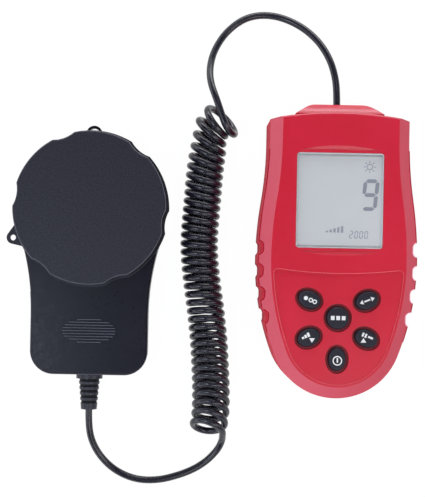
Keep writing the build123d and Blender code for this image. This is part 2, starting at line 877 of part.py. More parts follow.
def cap_plan(radius):
    """Round plan with shallow scallops."""
    face = Circle(radius)
    bite = (scallop_half_width**2 + scallop_sink**2) / (2 * scallop_sink)
    for number in range(scallop_count):
        angle = math.radians(scallop_first + number * 360 / scallop_count)
        reach = radius - scallop_sink + bite
        face -= Pos(reach * math.cos(angle), reach * math.sin(angle)) * Circle(bite)
    return face


def sensor_cap():
    """Scalloped lid with a low flange and a lug for a cord."""
    low = body_height + cap_seat_gap
    cap = slab(cap_plan(cap_radius), low, cap_height)
    rim = cap.edges().group_by(Axis.Z)[-1]
    cap = chamfer(rim, cap_top_bevel)
    cap += slab(cap_plan(cap_radius + cap_flange_reach), low, low + cap_flange_thickness)
    root = cap_radius - scallop_sink - cap_flange_reach
    hole = (lug_reach, 0)
    plate = make_hull([
        *(Pos(*hole) * Circle(lug_tip_radius)).edges(),
        Line((root, -lug_root_half_width), (root, lug_root_half_width)),
    ])
    turn = Rot(0, 0, lug_angle)
    cap += turn * slab(plate, low, low + lug_thickness)
    cap -= turn * rod(lug_hole_radius, 0, cap_height, *hole)
    return cap - rod(head_radius - head_ring_step + cap_side_gap, 0, cap_height - cap_top_thickness)


def diffuser_dome():
    """White dome with a flange under the lip of the head."""
    lip = head_height - head_lip_thickness
    flange_low = lip - diffuser_flange_thickness
    sphere = (dome_base_radius**2 + diffuser_rise**2) / (2 * diffuser_rise)
    crest = lip + diffuser_rise
    outer = Pos(0, 0, crest - sphere) * Sphere(sphere) & rod(dome_base_radius, flange_low, crest + overrun)
    outer += rod(head_bore_radius - fit_gap, flange_low, lip)
    inner = Pos(0, 0, crest - sphere) * Sphere(sphere - diffuser_wall)
    return outer - (inner & rod(dome_base_radius - diffuser_wall, 0, crest))


def diffuser_ring():
    """Ring that holds the dome's flange up against the lip."""
    top = head_height - head_lip_thickness - diffuser_flange_thickness
    low = top - diffuser_ring_thickness
    return rod(head_bore_radius - fit_gap, low, top) - rod(diffuser_ring_bore, low - overrun, top + overrun)


def sensor_board():
    """Small board on four posts."""
    x, y = sensor_board_half_x, sensor_board_half_y
    top = sensor_board_bottom + sensor_board_thickness
    return block(-x, x, -y, y, sensor_board_bottom, top)


def photodiode():
    """Square light sensor on the board."""
    half = photodiode_size / 2
    low = sensor_board_bottom + sensor_board_thickness
    return block(-half, half, -half, half, low, low + photodiode_height)


def filter_glass():
    """Colour filter on the light sensor."""
    low = sensor_board_bottom + sensor_board_thickness + photodiode_height
    return rod(filter_radius, low, low + filter_thickness)


def sensor_screws():
    """Four screws of the sensor's casing."""
    sizes = (sensor_screw_seat, sensor_screw_length, board_screw_radius, board_screw_head_radius)
    return group([screw(x, y, *sizes, board_screw_head_height) for x, y in sensor_screw_places()])


def sensor_strain_relief():
    """Ribbed boot, tapered, with a neck through the end of the casing."""
    start, end = -body_drop, -body_drop - boot_length
    boot = along_boot(boot_flange_radius, start - boot_flange_thickness, start)
    length = boot_length - boot_flange_thickness
    cone = Cone(boot_root_radius, boot_tip_radius, length)
    boot += Pos(0, end + length / 2, body_parting) * Rot(90, 0, 0) * cone
    for number in range(boot_groove_count):
        y = start - boot_groove_first - number * boot_groove_pitch
        share = (start - boot_flange_thickness - y) / length
        radius = boot_root_radius + (boot_tip_radius - boot_root_radius) * share - boot_groove_depth
        tube = along_boot(boot_flange_radius, y - boot_groove_width, y)
        boot -= tube - along_boot(radius, y - boot_groove_width, y)
    boot += along_boot(boot_neck_radius, start, start + body_wall + fit_gap)
    inner = start + body_wall + fit_gap
    return boot + along_boot(boot_inner_radius, inner, inner + boot_inner_flange)


# Cord

# Middle line of the curls on the table, one row for every second turn, with the
# first and the last row at the ends: x, y, lean of the turn in plan (degrees),
# tip of the turn out of the upright (degrees) and radius of the turn.
curl_rows = [
    (8.8, 67.4, 65, 26, 8.7),
    (0.1, 66.2, 45, 10, 7.4),
    (-0.9, 54.7, 25, 8, 7.5),
    (-2.4, 45.75, 16, 6, 7.5),
    (-3.15, 37.65, 10.5, 4.5, 7.5),
    (-3.6, 29.75, 7.5, 3.5, 7.5),
    (-4.2, 21.9, 5.5, 2.5, 7.5),
    (-4.75, 14.0, 3.5, 1.5, 7.5),
    (-4.95, 6.1, 0.5, 0.5, 7.5),
    (-4.45, -1.8, -2.5, -1, 7.5),
    (-3.45, -9.75, -4.5, -3, 7.5),
    (-2.25, -17.75, -5, -6, 7.5),
    (-1.05, -25.75, -5, -10, 7.5),
    (-0.05, -33.8, -5, -13.5, 7.5),
    (0.85, -41.9, -4.5, -16.5, 7.5),
    (1.35, -50.05, -3.5, -19.5, 7.5),
    (1.95, -58.35, -1, -22.5, 7.5),
    (2.2, -67.0, 4, -26.5, 7.55),
    (2.1, -76.35, 10.5, -31.5, 7.6),
    (0.8, -82.3, 17.5, -36.5, 7.5),
]
turns_per_row = 2
curl_last_turn = 36.22  # near the right side of the last turn
bends_per_turn = 4
gap_points_per_turn = 48

# Points of the two free stretches on the table, between their ends
meter_lead_points = [
    (59.2, 79.6, 14.0),
    (58.3, 88.5, 12.6),
    (55.6, 97.8, 9.6),
    (49.9, 107.2, 6.0),
    (40.6, 115.0, 3.0),
    (28.5, 119.4, 1.65),
    (16.3, 118.2, 1.65),
    (6.6, 110.8, 2.6),
    (0.6, 100.9, 5.4),
    (-1.5, 91.8, 9.3),
    (-1.0, 83.6, 13.8),
]
sensor_lead_points = [
    (7.6, -89.1, 3.4),
    (6.5, -91.6, 2.5),
    (4.5, -94.4, 1.95),
    (0.9, -98.2, 1.65),
    (-5.0, -102.2, 1.65),
    (-12.6, -105.4, 1.65),
    (-22.6, -108.1, 1.65),
    (-33.4, -108.0, 1.65),
    (-43.3, -104.0, 1.65),
    (-50.6, -97.2, 2.8),
    (-55.0, -89.0, 5.6),
    (-56.4, -80.6, 8.0),
]
lead_run = 7.0  # last run of the meter's stretch, in line with the curls
bend_run = 1.9  # first run of the sensor's stretch, where the curls point at the table
arc_share = 0.45  # of the shorter run beside a corner


def blend(rows, place):
    """Smooth value of a table of rows: a quadratic B-spline with clamped ends."""
    spans = len(rows) - 2
    first = min(max(int(place), 0), spans - 1)
    knots = [0, 0] + list(range(spans + 1)) + [spans, spans]
    values = [rows[first + step] for step in range(3)]
    for level in (1, 2):
        for step in range(2, level - 1, -1):
            low, high = knots[first + step], knots[first + step + 3 - level]
            share = (place - low) / (high - low)
            pairs = zip(values[step - 1], values[step])
            values[step] = [(1 - share) * before + share * after for before, after in pairs]
    return values[2]


def curl_point(turn):
    """Point of the curls' centreline after a number of turns from the first top."""
    place = min(max(turn / turns_per_row, 0), len(curl_rows) - 2)
    x, y, lean, tip, radius = blend(curl_rows, place)
    lean, tip = math.radians(lean), math.radians(tip)
    across = Vector(math.cos(lean), -math.sin(lean), 0)
    along = Vector(-math.sin(lean), -math.cos(lean), 0)
    up = Vector(0, 0, math.cos(tip)) + along * math.sin(tip)
    angle = 2 * math.pi * turn
    centre = Vector(x, y, cord_radius + radius * math.cos(tip))
    return centre + across * (radius * math.sin(angle)) + up * (radius * math.cos(angle))


def curl_heading(turn):
    """Direction of the curls' centreline."""
    step = 1 / (gap_points_per_turn * gap_points_per_turn)
    return (curl_point(turn + step) - curl_point(turn - step)).normalized()


def biarc(start, heading, end, end_heading):
    """Two tangent arcs between two points with given headings."""
    span = end - start
    total = heading + end_heading
    bend = 2 * (1 - heading.dot(end_heading))
    reach = (math.sqrt(span.dot(total) ** 2 + bend * span.dot(span)) - span.dot(total)) / bend
    joint = (start + end + (heading - end_heading) * reach) / 2
    first = TangentArc(start, joint, tangent=heading)
    return [first, TangentArc(joint, end, tangent=first % 1)]


def curl_turns():
    """Turn numbers at which the arcs of the curls meet."""
    count = int(curl_last_turn * bends_per_turn)
    return [number / bends_per_turn for number in range(count + 1)] + [curl_last_turn]


def curl_ends():
    """Outer ends of the straight stretches at both ends of the curls, with headings."""
    first, last = curl_heading(0), curl_heading(curl_last_turn)
    start = curl_point(0) - first * cord_diameter
    end = curl_point(curl_last_turn) + last * cord_diameter
    return start, first, end, last


def cord_curls():
    """Curly stretch as one unbroken tube."""
    turns = curl_turns()
    points = [curl_point(turn) for turn in turns]
    headings = [curl_heading(turn) for turn in turns]
    start, _, end, _ = curl_ends()
    edges = [Line(start, points[0])]
    for number in range(len(turns) - 1):
        edges += biarc(points[number], headings[number], points[number + 1], headings[number + 1])
    edges.append(Line(points[-1], end))
    path = Wire(edges)
    tube = sweep(Plane(start, z_dir=headings[0]) * Circle(cord_radius), path=path)
    report_tube("cord_curls", tube, path)
    return tube


def report_gap():
    """Print the least gap between the turns, measured on points."""
    count = int(curl_last_turn * gap_points_per_turn)
    points = [curl_point(number / gap_points_per_turn) for number in range(count + 1)]
    nearest, furthest = gap_points_per_turn // 3, 3 * gap_points_per_turn
    least = min(
        (point - other).length
        for number, point in enumerate(points)
        for other in points[number + nearest : number + furthest]
    )
    print("least gap between turns %.3f mm" % (least - cord_diameter))


def report_tube(name, tube, path):
    """Print how a tube's volume compares with its section times its length."""
    ratio = tube.volume / (math.pi * cord_radius**2 * path.length)
    print("%s length %.1f mm, volume ratio %.4f" % (name, path.length, ratio))


def lead(name, points):
    """Free stretch of the cord: straight runs joined by tangent arcs."""
    runs = [(after - before).length for before, after in zip(points, points[1:])]
    radii = []
    for number in range(1, len(points) - 1):
        before = points[number] - points[number - 1]
        after = points[number + 1] - points[number]
        half_turn = math.radians(before.get_angle(after)) / 2
        radii.append(arc_share * min(runs[number - 1], runs[number]) / math.tan(half_turn))
    print(name, "runs", [round(run, 1) for run in runs])
    print(name, "radii", [round(radius, 1) for radius in radii])
    path = FilletPolyline(*points, radius=radii)
    heading = points[1] - points[0]
    tube = sweep(Plane(points[0], z_dir=heading) * Circle(cord_radius), path=path)
    report_tube(name, tube, path)
    return tube


def meter_exit():
    """Outer face of the gland's neck."""
    place = meter_place * Pos(0, boss_end - gland_recess, parting_height)
    return place.position


def boot_exit():
    """End face of the boot."""
    place = sensor_place * Pos(0, -sensor_end, body_parting)
    return place.position


def cord_meter_lead():
    """Free stretch from the meter to the curls."""
    start, heading, _, _ = curl_ends()
    points = [meter_exit(), *map(lambda point: Vector(*point), meter_lead_points)]
    return lead("cord_meter_lead", points + [start - heading * lead_run, start])


def cord_sensor_lead():
    """Free stretch from the curls to the boot."""
    _, _, end, heading = curl_ends()
    points = [end, end + heading * bend_run, *map(lambda point: Vector(*point), sensor_lead_points)]
    return lead("cord_sensor_lead", points + [boot_exit()])


# All sub-parts

hollow = hollow_case()
meter_pieces = {
    "front_shell": front_shell(hollow),
    "rear_shell": rear_shell(hollow),
    "battery_cover": battery_cover(),
    "display_window": display_window(),
    "display_glass": display_glass(),
    "display_frame": display_frame(),
    "display_connectors": display_connectors(),
    "main_board": main_board(),
    "board_chips": board_chips(),
    "keypad_mat": keypad_mat(),
    "contact_domes": contact_domes(),
    "battery_cells": battery_cells(),
    "battery_contacts": battery_contacts(),
    "case_screws": case_screws(),
    "board_screws": board_screws(),
    "cord_gland": cord_gland(),
}
for key_name, key_x, key_y, key_halves, key_turn in key_table():
    meter_pieces[key_name] = key(key_x, key_y, key_halves, key_turn)
sensor_pieces = {
    "sensor_front_shell": sensor_front_shell(),
    "sensor_rear_shell": sensor_rear_shell(),
    "sensor_cap": sensor_cap(),
    "diffuser_dome": diffuser_dome(),
    "diffuser_ring": diffuser_ring(),
    "filter_glass": filter_glass(),
    "photodiode": photodiode(),
    "sensor_board": sensor_board(),
    "sensor_screws": sensor_screws(),
    "sensor_strain_relief": sensor_strain_relief(),
}
for name, piece in meter_pieces.items():
    save(name, meter_place * piece)
for name, piece in sensor_pieces.items():
    save(name, sensor_place * piece)
save("cord_meter_lead", cord_meter_lead())
save("cord_curls", cord_curls())
save("cord_sensor_lead", cord_sensor_lead())
report_gap()
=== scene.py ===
import math

import bmesh
import bpy
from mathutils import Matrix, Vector


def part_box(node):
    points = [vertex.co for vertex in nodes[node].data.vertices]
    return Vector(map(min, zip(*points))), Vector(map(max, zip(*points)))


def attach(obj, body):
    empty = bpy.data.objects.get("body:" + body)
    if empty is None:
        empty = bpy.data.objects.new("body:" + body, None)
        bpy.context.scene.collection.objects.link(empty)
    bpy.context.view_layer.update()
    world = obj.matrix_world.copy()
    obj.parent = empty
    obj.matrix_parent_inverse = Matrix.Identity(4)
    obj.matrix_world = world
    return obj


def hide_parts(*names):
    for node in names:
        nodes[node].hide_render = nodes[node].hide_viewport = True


# Looks of the lux meter, its curly cord and its sensor head, in the CAD's frame: +X right,
# +Y towards the meter's top end, +Z up. Lengths are in metres, or in millimetres under
# the headings that say so.

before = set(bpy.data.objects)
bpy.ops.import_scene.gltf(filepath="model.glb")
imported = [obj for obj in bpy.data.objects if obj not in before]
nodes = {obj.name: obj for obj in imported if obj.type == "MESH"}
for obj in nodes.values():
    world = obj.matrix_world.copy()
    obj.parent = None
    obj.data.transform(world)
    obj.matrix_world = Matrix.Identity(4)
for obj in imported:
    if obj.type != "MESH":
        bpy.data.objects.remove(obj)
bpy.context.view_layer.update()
root = "meter_and_sensor"
mm = 0.001
joint_within = 0.001 * mm  # corners nearer than this are one corner
scene = bpy.context.scene
scene.view_settings.view_transform = "Standard"

# Picture: the camera looks straight down on the table
picture = (425, 497)  # pixels
foot_pixel = (185, 275)  # where the camera stands over the table
camera_place = (-11.4 * mm, -8.05 * mm, 550 * mm)
camera_roll = 1.1  # degrees
table_in_view = 242.5 * mm  # picture's height on the table
nearest_seen = 10 * mm
sensor_size = 36  # millimetres, as the camera's data counts them

# Cord, with the same values as part.py, in millimetres
cord_diameter = 3.3
# Rows along the curls: x, y, lean and tip in degrees, radius
curl_rows = [
    (8.8, 67.4, 65, 26, 8.7),
    (0.1, 66.2, 45, 10, 7.4),
    (-0.9, 54.7, 25, 8, 7.5),
    (-2.4, 45.75, 16, 6, 7.5),
    (-3.15, 37.65, 10.5, 4.5, 7.5),
    (-3.6, 29.75, 7.5, 3.5, 7.5),
    (-4.2, 21.9, 5.5, 2.5, 7.5),
    (-4.75, 14.0, 3.5, 1.5, 7.5),
    (-4.95, 6.1, 0.5, 0.5, 7.5),
    (-4.45, -1.8, -2.5, -1, 7.5),
    (-3.45, -9.75, -4.5, -3, 7.5),
    (-2.25, -17.75, -5, -6, 7.5),
    (-1.05, -25.75, -5, -10, 7.5),
    (-0.05, -33.8, -5, -13.5, 7.5),
    (0.85, -41.9, -4.5, -16.5, 7.5),
    (1.35, -50.05, -3.5, -19.5, 7.5),
    (1.95, -58.35, -1, -22.5, 7.5),
    (2.2, -67.0, 4, -26.5, 7.55),
    (2.1, -76.35, 10.5, -31.5, 7.6),
    (0.8, -82.3, 17.5, -36.5, 7.5),
]
turns_per_row = 2
curl_last_turn = 36.22
curl_steps = 46  # points read from the curls' middle line for each row
meter_exit = (59.2, 70.65, 14.0)
meter_lead_points = [
    (59.2, 79.6, 14.0),
    (58.3, 88.5, 12.6),
    (55.6, 97.8, 9.6),
    (49.9, 107.2, 6.0),
    (40.6, 115.0, 3.0),
    (28.5, 119.4, 1.65),
    (16.3, 118.2, 1.65),
    (6.6, 110.8, 2.6),
    (0.6, 100.9, 5.4),
    (-1.5, 91.8, 9.3),
    (-1.0, 83.6, 13.8),
]
sensor_lead_points = [
    (7.6, -89.1, 3.4),
    (6.5, -91.6, 2.5),
    (4.5, -94.4, 1.95),
    (0.9, -98.2, 1.65),
    (-5.0, -102.2, 1.65),
    (-12.6, -105.4, 1.65),
    (-22.6, -108.1, 1.65),
    (-33.4, -108.0, 1.65),
    (-43.3, -104.0, 1.65),
    (-50.6, -97.2, 2.8),
    (-55.0, -89.0, 5.6),
    (-56.4, -80.6, 8.0),
]
boot_exit = (-56.4, -73.25, 8.0)
lead_run = 7.0
bend_run = 1.9
spline_order = 3
jacket_swell = 1.02  # makes up for the flats of the tube's section
jacket_steps = 5  # round the cord's section, and between two of its points


# Materials

# Noise for the drifting colour, the fine grain, the uneven gloss, the haze and the scratches
drift_detail = 2.0
fine_detail, fine_roughness = 2.0, 0.6
gloss_share = 0.3  # scale of the uneven gloss, as a share of the grain's
gloss_less, gloss_more = 0.05, 0.06
edge_samples = 6
haze_scale, haze_detail, haze_more = 200, 2.0, 0.04
scratch_scale, scratch_detail, scratch_depth = 3000, 4.0, 0.01 * mm
scratch_less, scratch_more = 0.08, 0.1
line_grain, line_depth = 0.3 * mm, 0.002 * mm

# How far a face looks up, from 0 for an upright side to 1 for a level top
slope_least = (0.58, 0.68)
slope_most = (0.8, 0.95)
side_most = (0.35, 0.5)
side_roughness = 0.9


def tree_of(name):
    """New material with a Principled shader: the material, its nodes' tree and the shader."""
    material = bpy.data.materials.new(name)
    material.use_nodes = True
    return material, material.node_tree, material.node_tree.nodes["Principled BSDF"]


def noise(tree, scale, detail=3.0, roughness=0.5):
    """Noise fixed to the surface."""
    place = tree.nodes.new("ShaderNodeTexCoord")
    texture = tree.nodes.new("ShaderNodeTexNoise")
    texture.inputs["Scale"].default_value = scale
    texture.inputs["Detail"].default_value = detail
    texture.inputs["Roughness"].default_value = roughness
    tree.links.new(place.outputs["Object"], texture.inputs["Vector"])
    return texture.outputs["Fac"]


def spread(tree, value, low, high, at_low=0.3, at_high=0.7):
    """Value from at_low to at_high, stretched from low to high."""
    node = tree.nodes.new("ShaderNodeMapRange")
    node.inputs["From Min"].default_value = at_low
    node.inputs["From Max"].default_value = at_high
    node.inputs["To Min"].default_value = low
    node.inputs["To Max"].default_value = high
    tree.links.new(value, node.inputs["Value"])
    return node.outputs["Result"]


def combine(tree, operation, first, second):
    """Outcome of a sum on two values, the second of which may be a plain number."""
    node = tree.nodes.new("ShaderNodeMath")
    node.operation = operation
    tree.links.new(first, node.inputs[0])
    if isinstance(second, float):
        node.inputs[1].default_value = second
    else:
        tree.links.new(second, node.inputs[1])
    return node.outputs[0]


def blend_colours(tree, value, first, second):
    """Mix of two colours."""
    node = tree.nodes.new("ShaderNodeMix")
    node.data_type = "RGBA"
    node.inputs["A"].default_value = (*first, 1)
    node.inputs["B"].default_value = (*second, 1)
    tree.links.new(value, node.inputs["Factor"])
    return node.outputs["Result"]


def relief(tree, shader, height, depth, edge=0):
    """Bump from a height, over softened edges."""
    bump = tree.nodes.new("ShaderNodeBump")
    bump.inputs["Strength"].default_value = 1.0
    bump.inputs["Distance"].default_value = depth
    tree.links.new(height, bump.inputs["Height"])
    if edge:
        bevel = tree.nodes.new("ShaderNodeBevel")
        bevel.samples = edge_samples
        bevel.inputs["Radius"].default_value = edge
        tree.links.new(bevel.outputs["Normal"], bump.inputs["Normal"])
    tree.links.new(bump.outputs["Normal"], shader.inputs["Normal"])


def moulded(name, dark, light, roughness, grain, depth, edge=0.25 * mm, spots=45, specular=0.5):
    """Moulded plastic or rubber: drifting colour, fine grain and uneven gloss.

    Grain is the width of its finest marks and depth is their height. Edge is the radius
    that softens its corners, and spots is the scale of its drifting colour.
    """
    material, tree, shader = tree_of(name)
    drift = spread(tree, noise(tree, spots, drift_detail), 0, 1)
    tree.links.new(blend_colours(tree, drift, dark, light), shader.inputs["Base Color"])
    fine = noise(tree, 1 / grain, fine_detail, fine_roughness)
    cloud = noise(tree, gloss_share / grain)
    gloss = spread(tree, cloud, roughness - gloss_less, roughness + gloss_more)
    tree.links.new(gloss, shader.inputs["Roughness"])
    relief(tree, shader, fine, depth, edge)
    shader.inputs["Specular IOR Level"].default_value = specular
    return material


def line_paint(name, dark, light, roughness=0.3, specular=0.5):
    """Smooth plastic for the fine lines of painted highlights and painted shade, without softened edges."""
    return moulded(name, dark, light, roughness, line_grain, line_depth, edge=0, specular=specular)


def paint_slope_sheen(material, colour):
    """Paler colour painted on the sloped bands of the case as a painted sheen, and duller sides."""
    tree = material.node_tree
    shader = tree.nodes["Principled BSDF"]
    facing = tree.nodes.new("ShaderNodeNewGeometry")
    parts = tree.nodes.new("ShaderNodeSeparateXYZ")
    tree.links.new(facing.outputs["Normal"], parts.inputs[0])
    up = parts.outputs["Z"]
    most, least = spread(tree, up, 1, 0, *slope_most), spread(tree, up, 0, 1, *slope_least)
    # The paler colour mixed in here is a painted sheen on the slopes
    slope_sheen = tree.nodes.new("ShaderNodeMix")
    slope_sheen.data_type = "RGBA"
    tree.links.new(combine(tree, "MULTIPLY", most, least), slope_sheen.inputs["Factor"])
    slope_sheen.inputs["B"].default_value = (*colour, 1)
    dull = tree.nodes.new("ShaderNodeMix")
    tree.links.new(spread(tree, up, 1, 0, *side_most), dull.inputs["Factor"])
    dull.inputs["B"].default_value = side_roughness
    for mix, socket in ((slope_sheen, "Base Color"), (dull, "Roughness")):
        tree.links.new(shader.inputs[socket].links[0].from_socket, mix.inputs["A"])
        tree.links.new(mix.outputs["Result"], shader.inputs[socket])


def clear(name, tint, alpha, roughness):
    """Thin clear plastic that lets most light through."""
    material, tree, shader = tree_of(name)
    shader.inputs["Base Color"].default_value = (*tint, 1)
    shader.inputs["Alpha"].default_value = alpha
    haze = spread(tree, noise(tree, haze_scale, haze_detail), roughness, roughness + haze_more)
    tree.links.new(haze, shader.inputs["Roughness"])
    return material


def metal(name, colour, roughness):
    """Plated metal with fine scratches."""
    material, tree, shader = tree_of(name)
    shader.inputs["Metallic"].default_value = 1.0
    shader.inputs["Base Color"].default_value = (*colour, 1)
    fine = noise(tree, scratch_scale, scratch_detail)
    gloss = spread(tree, fine, roughness - scratch_less, roughness + scratch_more)
    tree.links.new(gloss, shader.inputs["Roughness"])
    relief(tree, shader, fine, scratch_depth)
    return material


case_red = moulded(
    "case_red", (0.58, 0.003, 0.025), (0.62, 0.005, 0.032), 0.34, 0.4 * mm, 0.01 * mm, specular=0.65
)
# Painted sheen: a paler, pinker colour on the sloped bands of the case
paint_slope_sheen(case_red, (0.56, 0.02, 0.055))
key_rubber = moulded(
    "key_rubber", (0.005, 0.005, 0.013), (0.012, 0.012, 0.023), 0.5, 0.3 * mm, 0.02 * mm, specular=0.35
)
head_black = moulded(
    "head_black", (0.006, 0.0055, 0.012), (0.009, 0.0085, 0.017), 0.32, 0.5 * mm, 0.003 * mm, specular=0.19
)
cap_dark, cap_light = (0.004, 0.004, 0.011), (0.02, 0.019, 0.032)
cap_black = moulded("cap_black", cap_dark, cap_light, 0.5, 0.6 * mm, 0.05 * mm, spots=1500, specular=0.35)
boot_black = moulded(
    "boot_black", (0.017, 0.0165, 0.028), (0.024, 0.0235, 0.038), 0.4, 0.3 * mm, 0.008 * mm, specular=0.35
)
# Near-black rings in the boot's grooves: painted shade
groove_shade_black = moulded(
    "groove_shade_black", (0.002, 0.002, 0.004), (0.004, 0.004, 0.007), 0.6, 0.3 * mm, 0.005 * mm, specular=0.2
)
jacket_black = moulded(
    "jacket_black", (0.007, 0.006, 0.013), (0.011, 0.01, 0.02), 0.25, 0.8 * mm, 0.003 * mm, edge=0
)
# Paler grey of the rib tops: painted highlights
rib_highlight_grey = line_paint("rib_highlight_grey", (0.08, 0.084, 0.11), (0.11, 0.115, 0.15), 0.32)
# Grey of the lines along the cap's and the head's edges: painted highlights
highlight_grey = line_paint("highlight_grey", (0.08, 0.08, 0.105), (0.12, 0.12, 0.155), 0.35)
# Pale grey of the line round the window: a painted highlight over the shade at its edge
highlight_pale = line_paint("highlight_pale", (0.5, 0.54, 0.57), (0.6, 0.64, 0.67))
# Paler red of the panel's line: a painted highlight
highlight_red = line_paint("highlight_red", (0.62, 0.05, 0.075), (0.7, 0.065, 0.09))
# Dark red of the lines under the bands: painted shade; pink of the notch rims: painted highlight
shade_red = line_paint("shade_red", (0.36, 0.001, 0.014), (0.42, 0.002, 0.02), 0.8, specular=0.1)
highlight_pink = line_paint("highlight_pink", (0.85, 0.4, 0.5), (0.95, 0.5, 0.6))
# Dark red rings in the key wells: painted shade
well_shade_red = moulded("well_shade_red", (0.17, 0.001, 0.008), (0.22, 0.002, 0.012), 0.5, 0.3 * mm, 0.004 * mm, edge=0)
opal = moulded("opal", (0.8, 0.8, 0.77), (0.86, 0.86, 0.84), 0.5, 0.3 * mm, 0.01 * mm)
board_green = moulded("board_green", (0.01, 0.06, 0.025), (0.015, 0.09, 0.035), 0.4, 0.5 * mm, 0.02 * mm)
resin_black = moulded("resin_black", (0.01, 0.01, 0.01), (0.02, 0.02, 0.02), 0.45, 0.2 * mm, 0.01 * mm)
grey_rubber = moulded("grey_rubber", (0.2, 0.2, 0.21), (0.27, 0.27, 0.28), 0.6, 0.3 * mm, 0.02 * mm)
cell_jacket = moulded("cell_jacket", (0.03, 0.035, 0.045), (0.045, 0.05, 0.06), 0.25, 0.6 * mm, 0.004 * mm)
display_grey = moulded(
    "display_grey", (0.5, 0.505, 0.52), (0.54, 0.545, 0.56), 0.45, 0.5 * mm, 0.002 * mm, edge=0
)
segment_grey = moulded(
    "segment_grey", (0.1, 0.11, 0.17), (0.13, 0.14, 0.2), 0.5, 0.4 * mm, 0.002 * mm, edge=0
)
thin_grey = moulded("thin_grey", (0.15, 0.17, 0.22), (0.19, 0.21, 0.26), 0.5, 0.4 * mm, 0.002 * mm, edge=0)
print_white = moulded(
    "print_white", (0.72, 0.72, 0.72), (0.85, 0.85, 0.85), 0.5, 0.15 * mm, 0.01 * mm, edge=0
)
steel = metal("steel", (0.55, 0.56, 0.58), 0.3)
window_clear = clear("window_clear", (0.9, 0.95, 0.95), 0.1, 0.06)
filter_tint = clear("filter_tint", (0.2, 0.45, 0.3), 0.7, 0.08)

finishes = {
    case_red: ("front_shell", "rear_shell", "battery_cover"),
    key_rubber: ("key_rec", "key_range", "key_mode", "key_max", "key_hold", "key_power"),
    head_black: ("sensor_front_shell", "sensor_rear_shell"),
    cap_black: ("sensor_cap", "diffuser_ring"),
    boot_black: ("sensor_strain_relief", "cord_gland"),
    opal: ("diffuser_dome", "display_frame"),
    board_green: ("main_board", "sensor_board"),
    resin_black: ("board_chips", "photodiode"),
    grey_rubber: ("keypad_mat", "display_connectors"),
    cell_jacket: ("battery_cells",),
    steel: ("case_screws", "board_screws", "sensor_screws", "contact_domes", "battery_contacts"),
    display_grey: ("display_glass",),
    window_clear: ("display_window",),
    filter_tint: ("filter_glass",),
}
for material, names in finishes.items():
    for name in names:
        for slot in nodes[name].material_slots:
            slot.material = material


# Cord


def smooth_line(rows, steps):
    """Points of the NURBS line that has these rows as its control points."""
    curve = bpy.data.curves.new("guide", "CURVE")
    curve.dimensions = "3D"
    curve.resolution_u = steps
    fill_spline(curve, rows)
    guide = bpy.data.objects.new("guide", curve)
    mesh = bpy.data.meshes.new_from_object(guide)
    points = [vertex.co.copy() for vertex in mesh.vertices]
    bpy.data.objects.remove(guide)
    bpy.data.curves.remove(curve)
    bpy.data.meshes.remove(mesh)
    return points


def fill_spline(curve, points):
    """One open spline with these control points."""
    spline = curve.splines.new("NURBS")
    spline.points.add(len(points) - 1)
    for point, place in zip(spline.points, points):
        point.co = (*place, 1)
    spline.order_u = spline_order
    spline.use_endpoint_u = True


def curl_point(middle, angles, turn):
    """Place on a turn of the curls: middle holds x, y and radius, angles lean and tip."""
    x, y, radius = middle
    lean, tip = math.radians(angles[0]), math.radians(angles[1])
    across = Vector((math.cos(lean), -math.sin(lean), 0))
    along = Vector((-math.sin(lean), -math.cos(lean), 0))
    up = Vector((0, 0, math.cos(tip))) + along * math.sin(tip)
    angle = 2 * math.pi * turn
    centre = Vector((x, y, cord_diameter / 2 + radius * math.cos(tip)))
    return centre + across * (radius * math.sin(angle)) + up * (radius * math.cos(angle))


def curl_points():
    """Points round all the turns, in millimetres."""
    middles = smooth_line([(x, y, radius) for x, y, _, _, radius in curl_rows], curl_steps)
    angles = smooth_line([(lean, tip, 0) for _, _, lean, tip, _ in curl_rows], curl_steps)
    whole = turns_per_row * (len(curl_rows) - 2)
    step = whole / (len(middles) - 1)
    points = [curl_point(*pair, number * step) for number, pair in enumerate(zip(middles, angles))]
    rest = math.ceil((curl_last_turn - whole) / step)
    for number in range(1, rest + 1):
        turn = whole + (curl_last_turn - whole) * number / rest
        points.append(curl_point(middles[-1], angles[-1], turn))
    return points


def heading(first, second, third):
    """Direction of a smooth line at the first of three even points."""
    return (4 * second - 3 * first - third).normalized()


def make_cord():
    """The whole cord as one line, from the meter through the curls to the sensor head."""
    curls = curl_points()
    start, end = heading(*curls[:3]), -heading(*curls[:-4:-1])
    points = [Vector(meter_exit)] + [Vector(point) for point in meter_lead_points]
    first = curls[0] - start * cord_diameter
    points += [first - start * lead_run, first] + curls
    last = curls[-1] + end * cord_diameter
    points += [last, last + end * bend_run]
    points += [Vector(point) for point in sensor_lead_points] + [Vector(boot_exit)]
    curve = bpy.data.curves.new("cord", "CURVE")
    curve.dimensions = "3D"
    curve.bevel_depth = cord_diameter / 2 * jacket_swell * mm
    curve.bevel_resolution = jacket_steps
    curve.resolution_u = jacket_steps
    fill_spline(curve, [point * mm for point in points])
    piece = bpy.data.objects.new("cord", curve)
    scene.collection.objects.link(piece)
    curve.materials.append(jacket_black)
    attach(piece, root)
    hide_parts("cord_meter_lead", "cord_curls", "cord_sensor_lead")


# Camera, lights and table

white = (1, 1, 1)
# Each lamp's place, width, height, power and colour
softboxes = {
    "left_box": ((-0.37, -0.12, 0.5), 0.5, 0.4, 0.93, (0.93, 0.95, 1)),
    "sheen_box": ((-0.2, -0.08, 0.5), 0.12, 0.14, 0.5, (0.7, 0.84, 1)),
    "right_box": ((0.5, -0.05, 0.45), 0.3, 0.3, 0.97, white),
    "front_box": ((0.19, -0.34, 0.6), 0.36, 0.3, 1.32, white),
    "back_box": ((0.1, 0.6, 0.14), 0.5, 0.2, 1.7, white),
    "high_box": ((0.13, 0.34, 0.55), 0.3, 0.14, 0.25, white),
}
